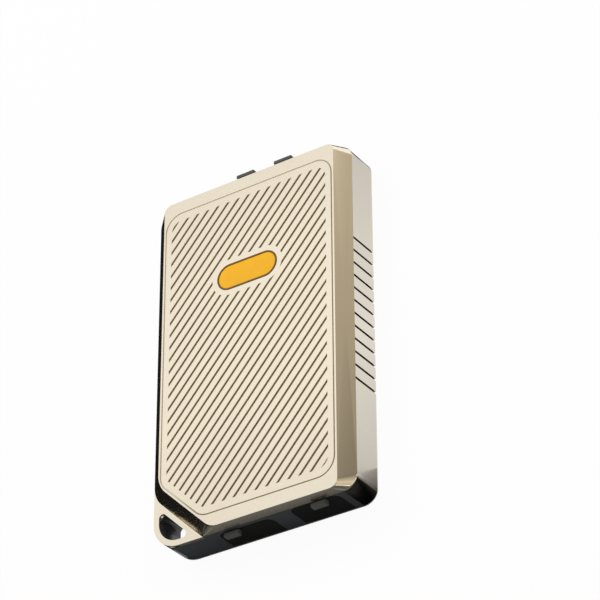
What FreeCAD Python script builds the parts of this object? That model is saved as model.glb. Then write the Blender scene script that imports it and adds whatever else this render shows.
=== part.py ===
"""Pocket optical time domain reflectometer: a flat metal case with hinged port covers.

The back face lies on z = 0, the front face looks along +Z, the top (fibre port) end is at +Y
and the bottom (charging) end, with the lanyard ear at its left, is at -Y. Millimetres.
"""
import FreeCAD, Part
import math
import os
import Sketcher

DIMENSIONS = (
    ("body_width", 78.7, "across the side walls"),
    ("body_length", 130.0, "over the two end panels"),
    ("frame_depth", 12.0, "back face to the foot of the front cover"),
    ("cover_rise", 4.35, "foot of the front cover to the front face"),
    ("side_bevel", 4.65, "width of the front cover's side bevels"),
    ("cut_leg", 19.6, "corner cut for the lanyard ear, along each edge"),
    ("cut_bevel", 4.2, "width of the bevel along the cut"),
    ("corner_radius", 5.0, "plan radius of the case's corners"),
    ("face_radius", 3.0, "plan radius of the front face's corners"),
    ("shoulder_radius", 10.0, "blend from side wall to cut"),
    ("toe_radius", 1.0, "blend from cut to bottom wall at the foot"),
    ("face_toe_radius", 7.0, "blend from cut to bottom wall at the face"),
    ("frame_wall", 2.0, "frame side walls"),
    ("face_wall", 1.6, "front cover's face and slopes"),
    ("floor_wall", 1.0, "ledge inside the frame that the back plate is screwed to"),
    ("floor_ledge", 6.0, "ledge width, from the outside of the case"),
    ("plate_wall", 1.2, "back plate"),
    ("plate_inset", 1.0, "frame rim left round the back plate"),
    ("skirt_drop", 1.0, "front cover's locating skirt below the foot"),
    ("skirt_wall", 1.0, "thickness of that skirt"),
    ("seat_gap", 0.1, "clearance of pieces that are fitted and stay put"),
    ("cover_gap", 0.15, "clearance round a port cover"),
    ("line_inset", 0.9, "decorative line in from the sides of the face"),
    ("line_end_inset", 5.0, "decorative line in from the ends of the face"),
    ("line_radius", 6.5, "corner radius of the decorative line"),
    ("line_width", 0.5, "decorative line"),
    ("line_cut", 0.35, "depth of the decorative line"),
    ("flute_width", 0.9, "diagonal flutes on the face"),
    ("flute_cut", 0.5, "depth of the flutes"),
    ("flute_pitch", 4.71, "flute to flute along the case's length"),
    ("flute_slope", 1.12, "rise of the flutes along the case over their run across it"),
    ("flute_shift", -0.14, "the middle flute's centre from the middle of the case"),
    ("flute_margin", 2.35, "fluted field in from the decorative line, at the sides"),
    ("flute_end_margin", 2.9, "fluted field in from the decorative line, at the ends"),
    ("badge_width", 24.0, "across the badge"),
    ("badge_height", 9.9, "badge, along the case"),
    ("badge_place", 26.8, "badge centre from the middle of the case"),
    ("badge_margin", 2.0, "plain border round the badge"),
    ("badge_seat", 0.6, "depth of the badge's recess"),
    ("badge_proud", 0.15, "badge stands proud of the face"),
    ("badge_rim", 0.55, "dark rim round the badge"),
    ("rib_slot", 0.9, "width of the grip slots in the side walls"),
    ("rib_cut", 0.8, "depth of the grip slots"),
    ("rib_pitch", 4.84, "slot to slot"),
    ("rib_first", 27.7, "topmost slot from the middle of the case"),
    ("rib_count", 12, "slots in each side wall"),
    ("ear_plate", 1.3, "thickness of the front cover's tongue over the ear"),
    ("tongue_lap", 1.2, "tongue let into the frame under the front cover's foot"),
    ("ear_radius", 10.0, "outer corner of the ear"),
    ("ear_rim", 2.1, "wall left outside the lanyard hole"),
    ("ear_bar", 1.75, "wall between the lanyard hole and the case"),
    ("ear_hole_corner", 1.4, "two small corners of the lanyard hole"),
    ("ear_hole_fullness", 0.8, "its large corner's share of the side it can take"),
    ("panel_wall", 2.0, "end panels, outside the case's cavity"),
    ("panel_flange", 1.5, "end panel's flange behind the frame"),
    ("panel_lap", 1.6, "flange overlap behind the frame"),
    ("boss_half", 2.3, "half the width of the square screw bosses in the frame"),
    ("pillar_half", 2.0, "half the width of the front cover's square pillars"),
    ("boss_inset", 4.3, "screws in from the side walls"),
    ("screw_end_inset", 11.0, "screws in from the ends"),
    ("screw_radius", 1.0, "shank of the case screws"),
    ("screw_head", 1.9, "head radius of the case screws"),
    ("screw_sink", 1.0, "depth of the countersunk head"),
    ("screw_grip", 3.4, "thread in the front cover's pillars"),
    ("screw_key", 0.6, "hexagon key radius"),
    ("board_level", 8.0, "underside of the main board"),
    ("board_wall", 1.2, "main board"),
    ("board_gap", 1.2, "main board in from the frame's walls"),
    ("port_axis", 6.6, "optical port axes above the back face"),
    ("first_port", -4.2, "trace port, from the middle of the case"),
    ("second_port", 11.2, "power meter port"),
    ("source_inset", 12.0, "red light source port, from the right edge of the bottom panel"),
    ("charge_port", -4.8, "charging port in the bottom end"),
    ("adapter_width", 11.4, "optical adapter housings"),
    ("adapter_height", 8.6, "optical adapter housings"),
    ("adapter_length", 14.0, "optical adapter housings"),
    ("socket_width", 9.1, "plug opening of the adapters"),
    ("socket_height", 7.5, "plug opening of the adapters"),
    ("socket_cut", 9.5, "depth of the plug opening"),
    ("sleeve_bore", 1.25, "radius of the alignment sleeves' bore"),
    ("sleeve_wall", 0.4, "alignment sleeves"),
    ("sleeve_length", 5.0, "alignment sleeves"),
    ("stub_gap", 0.3, "sleeve to the fixed stub behind it"),
    ("source_radius", 4.0, "round adapter of the red light source"),
    ("source_length", 12.0, "round adapter of the red light source"),
    ("laser_length", 6.5, "red laser behind that adapter"),
    ("usb_width", 8.94, "charging socket's shell"),
    ("usb_height", 3.26, "charging socket's shell"),
    ("top_cover_width", 13.4, "dust covers of the top ports"),
    ("top_cover_low", 1.7, "lower edge of the top dust covers"),
    ("top_cover_high", 11.5, "upper edge of the top dust covers"),
    ("top_tab_width", 6.8, "pull tabs at the top end"),
    ("top_tab_reach", 5.4, "pull tabs beyond the top end"),
    ("charge_cover_width", 20.4, "charging port's dust cover"),
    ("charge_cover_high", 10.4, "its upper edge"),
    ("charge_tab_shift", -4.65, "its pull tab, from the cover's middle"),
    ("source_cover_width", 18.4, "red source port's dust cover"),
    ("source_cover_high", 11.5, "its upper edge"),
    ("source_tab_shift", 2.2, "its pull tab, from the cover's middle"),
    ("low_cover_low", 0.6, "lower edge of the bottom dust covers"),
    ("low_tab_width", 5.4, "pull tabs at the bottom end"),
    ("low_tab_reach", 1.9, "pull tabs beyond the bottom end"),
    ("cover_wall", 1.2, "dust cover flaps"),
    ("cover_corner", 2.6, "upper corners of the dust covers"),
    ("barrel_radius", 0.9, "hinge barrels of the dust covers"),
    ("pin_radius", 0.4, "hinge pins"),
    ("pin_gap", 0.04, "running clearance on the hinge pins"),
    ("pin_reach", 1.4, "hinge pin held in the panel, each end"),
    ("tab_wall", 1.7, "pull tabs"),
    ("tab_lip", 0.5, "raised grip at a tab's end"),
    ("tab_lip_length", 1.3, "length of that grip"),
    ("plug_reach", 1.6, "dust cover's plug beyond its flap"),
    ("plug_gap", 0.35, "clearance round the plug"),
    ("button_width", 8.0, "power button"),
    ("button_height", 4.0, "power button"),
    ("button_inset", 7.5, "power button, from the left edge of the top panel"),
    ("button_chamfer", 0.3, "broken edge of the power button"),
    ("button_proud", 0.5, "power button stands out of the panel"),
    ("button_travel", 0.35, "stroke of the power button"),
    ("button_gap", 0.12, "clearance round the power button"),
    ("light_width", 1.6, "status light pipes"),
    ("light_height", 0.9, "status light pipes"),
    ("light_shift", 7.6, "power button to the middle light pipe"),
    ("light_pitch", 2.3, "light pipe to light pipe"),
    ("inner_gap", 1.3, "between the larger pieces inside"),
    ("coupler_length", 6.0, "coupler between the trace port and the optical engine"),
    ("engine_length", 27.0, "optical engine"),
    ("engine_width", 31.0, "optical engine"),
    ("engine_right", 6.0, "optical engine's right side from the trace port's axis"),
)


class Size:
    """A length known both as a number and as the sheet expression that gives it."""

    def __init__(self, value, text):
        self.value = value
        self.text = text

    def joined(self, sign, other, value):
        return Size(value, f"({self.text} {sign} {other.text})")

    def __add__(self, other):
        other = as_size(other)
        return self.joined("+", other, self.value + other.value)

    def __sub__(self, other):
        other = as_size(other)
        return self.joined("-", other, self.value - other.value)

    def __mul__(self, other):
        other = as_size(other)
        return self.joined("*", other, self.value * other.value)

    def __truediv__(self, other):
        other = as_size(other)
        return self.joined("/", other, self.value / other.value)

    def __neg__(self):
        return as_size(0) - self


def as_size(number):
    """A Size as it is, or a plain number turned into one."""
    if isinstance(number, Size):
        return number
    return Size(float(number), f"({float(number):.9f})")


document = FreeCAD.newDocument("pocket_reflectometer")
sheet = document.addObject("Spreadsheet::Sheet", "Dimensions")
for row, (alias, number, meaning) in enumerate(DIMENSIONS, start=1):
    sheet.set(f"A{row}", alias)
    sheet.set(f"B{row}", str(number))
    sheet.set(f"C{row}", meaning)
    sheet.setAlias(f"B{row}", alias)
document.recompute()
VALUES = {alias: number for alias, number, meaning in DIMENSIONS}
NODES = {}
ROOT_TWO = math.sqrt(2.0)


def dim(alias):
    """The named dimension, bound to its cell."""
    return Size(float(VALUES[alias]), f"Dimensions.{alias}")


# ---------------------------------------------------------------- sketches and features

def bind(feature, prop, size):
    """Tie a property of a feature to the sheet."""
    feature.setExpression(prop, as_size(size).text)


def new_body(label):
    body = document.addObject("PartDesign::Body", label)
    body.Label = label
    return body


def new_sketch(body, role, offset=0.0):
    """A sketch on one of the body's own origin planes, moved along that plane's normal.

    XY: x right, y up, normal +Z. XZ: x right, z up, normal -Y. YZ: y right, z up, normal +X.
    """
    plane = next(item for item in body.Origin.OriginFeatures if item.Role == role)
    sketch = body.newObject("Sketcher::SketchObject", body.Name + "_sketch")
    sketch.AttachmentSupport = [(plane, "")]
    sketch.MapMode = "FlatFace"
    bind(sketch, "AttachmentOffset.Base.z", offset)
    return sketch


def pin_point(sketch, edge, end, x, y):
    """Hold an end of a sketch edge at x, y from the sketch's origin."""
    for kind, size in (("DistanceX", x), ("DistanceY", y)):
        size = as_size(size)
        index = sketch.addConstraint(Sketcher.Constraint(kind, -1, 1, edge, end, size.value))
        sketch.setExpression(f"Constraints[{index}]", size.text)


def corner_ends(before, corner, after, radius):
    """Where a rounding of the given radius starts and ends on the two sides of a corner."""
    ends = []
    arms = []
    for other in (before, after):
        dx = other[0].value - corner[0].value
        dy = other[1].value - corner[1].value
        reach = math.hypot(dx, dy)
        arms.append((dx / reach, dy / reach))
    angle = math.acos(arms[0][0] * arms[1][0] + arms[0][1] * arms[1][1])
    setback = radius * (1.0 / math.tan(angle / 2.0))
    for arm in arms:
        ends.append((corner[0] + setback * arm[0], corner[1] + setback * arm[1]))
    bisector = (arms[0][0] + arms[1][0], arms[0][1] + arms[1][1])
    span = math.hypot(*bisector)
    middle_reach = radius.value / math.sin(angle / 2.0) - radius.value
    middle = (corner[0].value + bisector[0] / span * middle_reach,
              corner[1].value + bisector[1] / span * middle_reach)
    return ends[0], middle, ends[1]


def outline(sketch, corners):
    """A closed outline of straight sides. Each corner is (x, y) or (x, y, rounding radius)."""
    corners = [tuple(as_size(item) for item in corner) for corner in corners]
    starts = []
    finishes = []
    roundings = []
    for index, corner in enumerate(corners):
        if len(corner) == 2:
            starts.append(corner)
            finishes.append(corner)
            continue
        before = corners[index - 1]
        after = corners[(index + 1) % len(corners)]
        first, middle, last = corner_ends(before, corner, after, corner[2])
        finishes.append(first)
        starts.append(last)
        roundings.append((index, first, middle, last, corner[2]))
    lines = []
    for index, start in enumerate(starts):
        finish = finishes[(index + 1) % len(corners)]
        points = [FreeCAD.Vector(point[0].value, point[1].value, 0) for point in (start, finish)]
        line = sketch.addGeometry(Part.LineSegment(*points), False)
        pin_point(sketch, line, 1, *start[:2])
        pin_point(sketch, line, 2, *finish[:2])
        lines.append(line)
    for index, first, middle, last, radius in roundings:
        vectors = (FreeCAD.Vector(first[0].value, first[1].value, 0),
                   FreeCAD.Vector(middle[0], middle[1], 0),
                   FreeCAD.Vector(last[0].value, last[1].value, 0))
        arc = sketch.addGeometry(Part.Arc(*vectors), False)
        line_before = lines[index - 1]
        line_after = lines[index]
        arc_start = sketch.getPoint(arc, 1)
        straight = arc_start.distanceToPoint(vectors[0]) < arc_start.distanceToPoint(vectors[2])
        ends = (1, 2) if straight else (2, 1)
        sketch.addConstraint(Sketcher.Constraint("Coincident", line_before, 2, arc, ends[0]))
        sketch.addConstraint(Sketcher.Constraint("Coincident", line_after, 1, arc, ends[1]))
        held = sketch.addConstraint(Sketcher.Constraint("Radius", arc, radius.value))
        sketch.setExpression(f"Constraints[{held}]", radius.text)


def rectangle(sketch, left, right, low, high, radius=None):
    """A rectangle, rounded when a radius is given."""
    corners = [(left, low), (right, low), (right, high), (left, high)]
    if radius is not None:
        corners = [corner + (radius,) for corner in corners]
    outline(sketch, corners)


def square(sketch, x, y, half):
    """A square about x, y."""
    rectangle(sketch, x - half, x + half, y - half, y + half)


def circle(sketch, x, y, radius):
    """A circle held at x, y."""
    x, y, radius = as_size(x), as_size(y), as_size(radius)
    centre = FreeCAD.Vector(x.value, y.value, 0)
    edge = sketch.addGeometry(Part.Circle(centre, FreeCAD.Vector(0, 0, 1), radius.value), False)
    pin_point(sketch, edge, 3, x, y)
    held = sketch.addConstraint(Sketcher.Constraint("Radius", edge, radius.value))
    sketch.setExpression(f"Constraints[{held}]", radius.text)


def pad(sketch, length, reverse=False):
    """Raise a sketch along its plane's normal, or against it."""
    body = sketch.getParentGeoFeatureGroup()
    feature = body.newObject("PartDesign::Pad", body.Name + "_pad")
    feature.Profile = sketch
    feature.Reversed = reverse
    bind(feature, "Length", length)
    return feature


def pocket(sketch, length, along_normal=False):
    """Cut a sketch into its body, against its plane's normal or along it."""
    body = sketch.getParentGeoFeatureGroup()
    document.recompute()
    before = body.Shape.Volume
    feature = body.newObject("PartDesign::Pocket", body.Name + "_pocket")
    feature.Profile = sketch
    feature.Reversed = along_normal
    bind(feature, "Length", length)
    document.recompute()
    if not feature.Shape.Volume < before - 1e-6:
        raise RuntimeError(f"{feature.Name} cuts nothing")
    return feature


def round_edges(body, radius, chosen, kind="Fillet"):
    """Fillet or chamfer the edges of a body's last feature that the test picks."""
    document.recompute()
    base = body.Tip
    names = [f"Edge{index}" for index, edge in enumerate(base.Shape.Edges, start=1) if chosen(edge)]
    if not names:
        raise RuntimeError(f"{body.Label}: no edge to round")
    feature = body.newObject(f"PartDesign::{kind}", body.Name + "_" + kind.lower())
    feature.Base = (base, names)
    bind(feature, "Radius" if kind == "Fillet" else "Size", radius)
    document.recompute()
    return feature


def lies_at(edge, axis, level):
    """True for an edge that lies wholly at one level of an axis (0, 1, 2 for x, y, z)."""
    spans = ((edge.BoundBox.XMin, edge.BoundBox.XMax), (edge.BoundBox.YMin, edge.BoundBox.YMax),
             (edge.BoundBox.ZMin, edge.BoundBox.ZMax))
    low, high = spans[axis]
    return abs(low - level) < 1e-4 and abs(high - level) < 1e-4


# ---------------------------------------------------------------- primitives and booleans

def place(item, x, y, z):
    for name, size in (("x", x), ("y", y), ("z", z)):
        bind(item, f"Placement.Base.{name}", size)


def block(label, left, right, back, front, low, high):
    """A box between two x, two y and two z levels."""
    left, right, back, front, low, high = map(as_size, (left, right, back, front, low, high))
    item = document.addObject("Part::Box", label)
    item.Label = label
    bind(item, "Length", right - left)
    bind(item, "Width", front - back)
    bind(item, "Height", high - low)
    place(item, left, back, low)
    return item


TURNS = {"z": FreeCAD.Rotation(),
         "y": FreeCAD.Rotation(FreeCAD.Vector(1, 0, 0), -90),
         "-y": FreeCAD.Rotation(FreeCAD.Vector(1, 0, 0), 90),
         "x": FreeCAD.Rotation(FreeCAD.Vector(0, 1, 0), 90)}


def rod(label, axis, x, y, z, radius, length):
    """A round bar from its foot at x, y, z along an axis."""
    item = document.addObject("Part::Cylinder", label)
    item.Label = label
    item.Placement = FreeCAD.Placement(FreeCAD.Vector(), TURNS[axis])
    bind(item, "Radius", radius)
    bind(item, "Height", length)
    place(item, x, y, z)
    return item


def cut(label, base, tools):
    """The base without the tools."""
    tool = tools[0] if len(tools) == 1 else fuse(label + "_tools", tools)
    item = document.addObject("Part::Cut", label)
    item.Label = label
    item.Base = base
    item.Tool = tool
    return item


def fuse(label, items):
    item = document.addObject("Part::MultiFuse", label)
    item.Label = label
    item.Shapes = items
    return item


def group(label, items):
    """Separate solids that share one node."""
    item = document.addObject("Part::Compound", label)
    item.Label = label
    item.Links = items
    return item


def node(item, label=None):
    """Keep an object as a sub-part under its own name."""
    if label is not None:
        item.Label = label
    NODES[item.Label] = item
    return item


# ---------------------------------------------------------------- shared places

half_width = dim("body_width") / 2
half_length = dim("body_length") / 2
foot_level = dim("frame_depth")
face_level = foot_level + dim("cover_rise")
tongue_level = foot_level - dim("ear_plate")
floor_level = dim("plate_wall") + dim("floor_wall")
board_top = dim("board_level") + dim("board_wall")
panel_edge = half_width - dim("corner_radius") - dim("seat_gap") / 2
panel_back = half_length - dim("panel_wall")
flange_back = panel_back - dim("panel_flange")
adapter_front = half_length - dim("barrel_radius") * 2 - dim("cover_gap") - 0.1
adapter_back = adapter_front - dim("adapter_length")
ear_toe = dim("cut_leg") - half_width
source_x = panel_edge - dim("source_inset")
button_x = dim("button_inset") - panel_edge
button_level = dim("board_level") - 1.8
sleeve_radius = dim("sleeve_bore") + dim("sleeve_wall")
engine_front = adapter_back - dim("coupler_length")
notch_deep = engine_front + 0.5
source_end = (dim("cover_wall") + dim("plug_reach") + dim("source_length") + dim("laser_length")
              + 0.2 - half_length)
screw_side = half_width - dim("boss_inset") - dim("frame_wall")
screw_end = half_length - dim("screw_end_inset")
SCREWS = ((screw_side, screw_end), (-screw_side, screw_end), (screw_side, -screw_end),
          (-screw_side, dim("cut_leg") + 3.0 - half_length))


def plan(width, length, leg, corner, shoulder, toe):
    """Corners of the case's plan: a rectangle whose lower left corner is cut at 45 degrees."""
    return ((-width, length, corner), (-width, leg - length, shoulder),
            (leg - width, -length, toe), (width, -length, corner), (width, length, corner))


def inner_plan(side, end, corner, shoulder, toe):
    """The case's plan moved in by one distance at the sides and cut, another at the ends."""
    width = half_width - side
    length = half_length - end
    leg = dim("cut_leg") + side * ROOT_TWO - side - end
    return plan(width, length, leg, corner, shoulder, toe)


foot_plan = inner_plan(as_size(0), as_size(0), dim("corner_radius"), dim("shoulder_radius"),
                       dim("toe_radius"))
frame_plan = inner_plan(as_size(0), as_size(0), dim("corner_radius"), as_size(0.6),
                        dim("toe_radius"))
wedge = dim("shoulder_radius") * math.tan(math.pi / 8.0)
face_width = half_width - dim("side_bevel")
face_leg = dim("cut_leg") + dim("cut_bevel") * ROOT_TWO - dim("side_bevel")
face_plan = plan(face_width, half_length, face_leg, dim("face_radius"), dim("shoulder_radius"),
                 dim("face_toe_radius"))


def face_inset(side, end, corner):
    """The front face's plan moved in by one distance at the sides and cut, another at the ends."""
    leg = face_leg + side * ROOT_TWO - side - end
    return plan(face_width - side, half_length - end, leg, corner, corner, corner)


def ear_corner(rim, bar):
    """Corner triangle of the ear, its walls moved in by the rim and its long side by the bar."""
    left = rim - half_width
    low = rim - half_length
    leg = dim("cut_leg") - rim * 2 - bar * ROOT_TWO
    return (left, low + leg), (left, low), (left + leg, low)


def lanyard_hole(sketch):
    """The hole: two sides follow the ear's rim round its corner, the third follows the cut."""
    upper, outer, lower = ear_corner(dim("ear_rim"), dim("ear_bar"))
    small = dim("ear_hole_corner")
    large = (lower[0] - outer[0] - small * (1.0 + ROOT_TWO)) * dim("ear_hole_fullness")
    outline(sketch, (upper + (small,), outer + (large,), lower + (small,)))


def shoulder_tangent(inboard):
    """Where the shoulder's blend meets the cut, moved square to the cut into the case."""
    along = wedge / ROOT_TWO
    inward = inboard / ROOT_TWO
    return along + inward - half_width, dim("cut_leg") - half_length - along + inward


def end_sketch(body, end, depth=0.0):
    """A sketch parallel to an end face (end is +1 at the top, -1 at the bottom), sunk by depth."""
    return new_sketch(body, "XZ_Plane", (half_length - depth) * -end)


def end_pad(sketch, end, length):
    """Pad from an end face inwards."""
    return pad(sketch, length, reverse=end < 0)


def end_pocket(sketch, end, length):
    """Pocket from an end face inwards."""
    return pocket(sketch, length, along_normal=end > 0)


# ---------------------------------------------------------------- front cover and badge

def ruled_loft(body, kind, low_corners, low_level, high_corners, high_level):
    """A loft with ruled flanks between two plans that have the same corners."""
    sections = []
    for corners, level in ((low_corners, low_level), (high_corners, high_level)):
        section = new_sketch(body, "XY_Plane", level)
        outline(section, corners)
        sections.append(section)
    document.recompute()
    loft = body.newObject(f"PartDesign::{kind}", body.Name + "_loft")
    loft.Profile = sections[0]
    loft.Sections = [sections[1]]
    loft.Ruled = True
    document.recompute()
    return loft


def make_front_cover():
    """Bevelled shell with a skirt, screw pillars and the tongue that covers the ear."""
    body = new_body("cover_shell")
    ruled_loft(body, "AdditiveLoft", foot_plan, foot_level, face_plan, face_level)

    skirt_inset = dim("frame_wall") + dim("seat_gap")
    skirt = new_sketch(body, "XY_Plane", foot_level - dim("skirt_drop"))
    outline(skirt, inner_plan(skirt_inset, skirt_inset, as_size(1.5), as_size(5.0), as_size(1.5)))
    pad(skirt, dim("skirt_drop"))

    hollow_inset = skirt_inset + dim("skirt_wall")
    rise = (dim("cover_rise") - dim("face_wall")) / dim("cover_rise")
    wall = dim("face_wall") + 0.4
    top_width = half_width - dim("side_bevel") * rise - wall
    top_length = half_length - hollow_inset
    top_leg = (dim("cut_leg") + (dim("cut_bevel") * rise + wall) * ROOT_TWO
               - (half_width - top_width) - hollow_inset)
    hollow_radii = (as_size(3.0), as_size(6.0), as_size(3.0))
    ruled_loft(body, "SubtractiveLoft",
               inner_plan(hollow_inset, hollow_inset, *hollow_radii),
               foot_level - dim("skirt_drop"),
               plan(top_width, top_length, top_leg, *hollow_radii),
               face_level - dim("face_wall"))

    tongue = new_sketch(body, "XY_Plane", tongue_level)
    upper, outer, lower = ear_corner(as_size(0), as_size(0))
    lap = dim("tongue_lap")
    outline(tongue, ((upper[0], upper[1] + wedge), outer + (dim("ear_radius"),), lower,
                     (lower[0], lower[1] + lap * ROOT_TWO), shoulder_tangent(lap)))
    pad(tongue, dim("ear_plate"))
    opening = new_sketch(body, "XY_Plane", foot_level)
    lanyard_hole(opening)
    pocket(opening, dim("ear_plate"))

    pillars = new_sketch(body, "XY_Plane", board_top)
    for x, y in SCREWS:
        square(pillars, x, y, dim("pillar_half"))
    pad(pillars, face_level - dim("face_wall") - board_top)
    threads = new_sketch(body, "XY_Plane", board_top)
    for x, y in SCREWS:
        circle(threads, x, y, dim("screw_radius") + 0.02)
    pocket(threads, dim("screw_grip") + 0.2, along_normal=True)

    recess = new_sketch(body, "XY_Plane", face_level)
    half = dim("badge_width") / 2 + dim("seat_gap") / 2
    tall = dim("badge_height") / 2 + dim("seat_gap") / 2
    rectangle(recess, -half, half, dim("badge_place") - tall, dim("badge_place") + tall,
              tall - 0.01)
    pocket(recess, dim("badge_seat"))

    line = new_sketch(body, "XY_Plane", face_level)
    slim = dim("line_width") / 2
    outline(line, face_inset(dim("line_inset") - slim, dim("line_end_inset") - slim,
                             dim("line_radius") + slim))
    outline(line, face_inset(dim("line_inset") + slim, dim("line_end_inset") + slim,
                             dim("line_radius") - slim))
    pocket(line, dim("line_cut"))
    return body


def make_flutes():
    """Diagonal bars, kept inside the field and clear of the badge."""
    side = dim("line_inset") + dim("flute_margin")
    end = dim("line_end_inset") + dim("flute_end_margin")
    field_width = face_width - side
    field_length = half_length - end
    reach = field_width.value * VALUES["flute_slope"] + field_length.value
    each_way = int(reach / VALUES["flute_pitch"])
    bars = new_body("flute_bars")
    bar = new_sketch(bars, "XY_Plane", face_level - dim("flute_cut"))
    half_bar = dim("flute_width") / 2 * math.hypot(1.0, VALUES["flute_slope"])
    start = dim("flute_pitch") * -each_way + dim("flute_shift")
    rise = half_width * dim("flute_slope")
    outline(bar, ((-half_width, start - rise - half_bar), (half_width, start + rise - half_bar),
                  (half_width, start + rise + half_bar), (-half_width, start - rise + half_bar)))
    first = pad(bar, dim("flute_cut") + 1.0)
    bars.AllowCompound = True
    document.recompute()
    rows = bars.newObject("PartDesign::LinearPattern", "flute_rows")
    rows.Originals = [first]
    rows.Direction = (axis_of(bars, "Y_Axis"), [""])
    rows.Mode = "Spacing"
    bind(rows, "Offset", dim("flute_pitch"))
    rows.Occurrences = 2 * each_way + 1
    bars.Tip = rows

    field = new_body("flute_field")
    area = new_sketch(field, "XY_Plane", face_level - dim("flute_cut"))
    outline(area, face_inset(side, end, dim("line_radius") - dim("flute_margin")))
    pad(area, dim("flute_cut") + 0.5)
    island = new_sketch(field, "XY_Plane", face_level)
    half = dim("badge_width") / 2 + dim("badge_margin")
    tall = dim("badge_height") / 2 + dim("badge_margin")
    rectangle(island, -half, half, dim("badge_place") - tall, dim("badge_place") + tall,
              tall - 0.01)
    pocket(island, dim("flute_cut"))
    island_top = new_sketch(field, "XY_Plane", face_level)
    rectangle(island_top, -half, half, dim("badge_place") - tall, dim("badge_place") + tall,
              tall - 0.01)
    pocket(island_top, 0.5, along_normal=True)

    flutes = document.addObject("Part::Common", "flutes")
    flutes.Base = bars
    flutes.Tool = field
    return flutes


def axis_of(body, role):
    return next(item for item in body.Origin.OriginFeatures if item.Role == role)


def make_badge():
    """Amber plate let into a dark rim, both in the front cover's recess."""
    low = face_level - dim("badge_seat")
    half = dim("badge_width") / 2
    tall = dim("badge_height") / 2
    middle = dim("badge_place")
    rim_width = dim("badge_rim")
    rim = new_body("badge_rim")
    ring = new_sketch(rim, "XY_Plane", low)
    rectangle(ring, -half, half, middle - tall, middle + tall, tall - 0.01)
    slim = half - rim_width
    short = tall - rim_width
    rectangle(ring, -slim, slim, middle - short, middle + short, short - 0.01)
    pad(ring, dim("badge_seat") + dim("badge_proud"))
    node(rim)
    plate = new_body("badge_plate")
    face = new_sketch(plate, "XY_Plane", low)
    rectangle(face, -slim, slim, middle - short, middle + short, short - 0.01)
    pad(face, dim("badge_seat") + dim("badge_proud") - 0.05)
    node(plate)


# ---------------------------------------------------------------- frame and back plate

def make_side_frame():
    """One ring with a ledge, screw bosses and grip slots, open where the end panels go in."""
    body = new_body("side_frame")
    blank = new_sketch(body, "XY_Plane")
    outline(blank, frame_plan)
    pad(blank, foot_level)

    wall = dim("frame_wall")
    cavity = new_sketch(body, "XY_Plane", foot_level)
    outline(cavity, inner_plan(wall, wall, as_size(1.0), as_size(6.0), as_size(1.0)))
    pocket(cavity, foot_level - floor_level)
    window = new_sketch(body, "XY_Plane", floor_level)
    ledge = dim("floor_ledge")
    outline(window, inner_plan(ledge, ledge, as_size(2.0), as_size(4.0), as_size(2.0)))
    pocket(window, floor_level)
    seat = new_sketch(body, "XY_Plane")
    outline(seat, inner_plan(dim("plate_inset"), dim("panel_wall"), as_size(2.0), as_size(8.0),
                             as_size(1.0)))
    pocket(seat, dim("plate_wall"), along_normal=True)

    ends = new_sketch(body, "XY_Plane")
    edge = half_width - dim("corner_radius")
    rectangle(ends, -edge, edge, panel_back, half_length + 1.0)
    rectangle(ends, -half_width - 1.0, edge, -half_length - 1.0, -panel_back)
    pocket(ends, foot_level, along_normal=True)
    notch = new_sketch(body, "XY_Plane", foot_level)
    gap = dim("seat_gap")
    top = dim("cut_leg") - half_length + wedge + gap
    lap = dim("tongue_lap") + gap
    outline(notch, ((-half_width - 1.0, top), (-half_width - 1.0, -half_length - 1.0),
                    (ear_toe, -half_length - 1.0), (ear_toe, lap * ROOT_TWO - half_length),
                    shoulder_tangent(lap), (gap - half_width, top)))
    pocket(notch, dim("ear_plate"))

    bosses = new_sketch(body, "XY_Plane", dim("plate_wall"))
    for x, y in SCREWS:
        square(bosses, x, y, dim("boss_half"))
    pad(bosses, dim("board_level") - dim("plate_wall"))
    bores = new_sketch(body, "XY_Plane", dim("plate_wall"))
    for x, y in SCREWS:
        circle(bores, x, y, dim("screw_radius") + 0.1)
    pocket(bores, dim("board_level"), along_normal=True)

    slot = new_sketch(body, "XY_Plane")
    low = dim("rib_first") - dim("rib_slot") / 2
    high = low + dim("rib_slot")
    inner = half_width - dim("rib_cut")
    rectangle(slot, inner, half_width + 1.0, low, high)
    rectangle(slot, -half_width - 1.0, -inner, low, high)
    first = pocket(slot, foot_level, along_normal=True)
    rows = body.newObject("PartDesign::LinearPattern", "grip_slots")
    rows.Originals = [first]
    rows.Direction = (axis_of(body, "Y_Axis"), [""])
    rows.Reversed = True
    rows.Mode = "Spacing"
    bind(rows, "Offset", dim("rib_pitch"))
    bind(rows, "Occurrences", dim("rib_count"))
    body.Tip = rows
    node(body)


def make_back_plate():
    """Flat plate in the frame's recess, countersunk for the case screws."""
    body = new_body("back_plate")
    blank = new_sketch(body, "XY_Plane")
    gap = dim("seat_gap")
    outline(blank, inner_plan(dim("plate_inset") + gap, dim("panel_wall") + gap, as_size(1.9),
                              as_size(8.0), as_size(1.0)))
    pad(blank, dim("plate_wall"))
    bores = new_sketch(body, "XY_Plane")
    for x, y in SCREWS:
        circle(bores, x, y, dim("screw_radius") + 0.1)
    pocket(bores, dim("plate_wall"), along_normal=True)
    sinks = []
    for index, (x, y) in enumerate(SCREWS):
        sink = document.addObject("Part::Cone", f"plate_sink_{index}")
        bind(sink, "Radius1", dim("screw_head") + 0.05)
        bind(sink, "Radius2", dim("screw_radius") + 0.05)
        bind(sink, "Height", dim("screw_sink"))
        place(sink, x, y, 0.0)
        sinks.append(sink)
    body.Label = "plate_blank"
    node(cut("back_plate", body, sinks))


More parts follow.
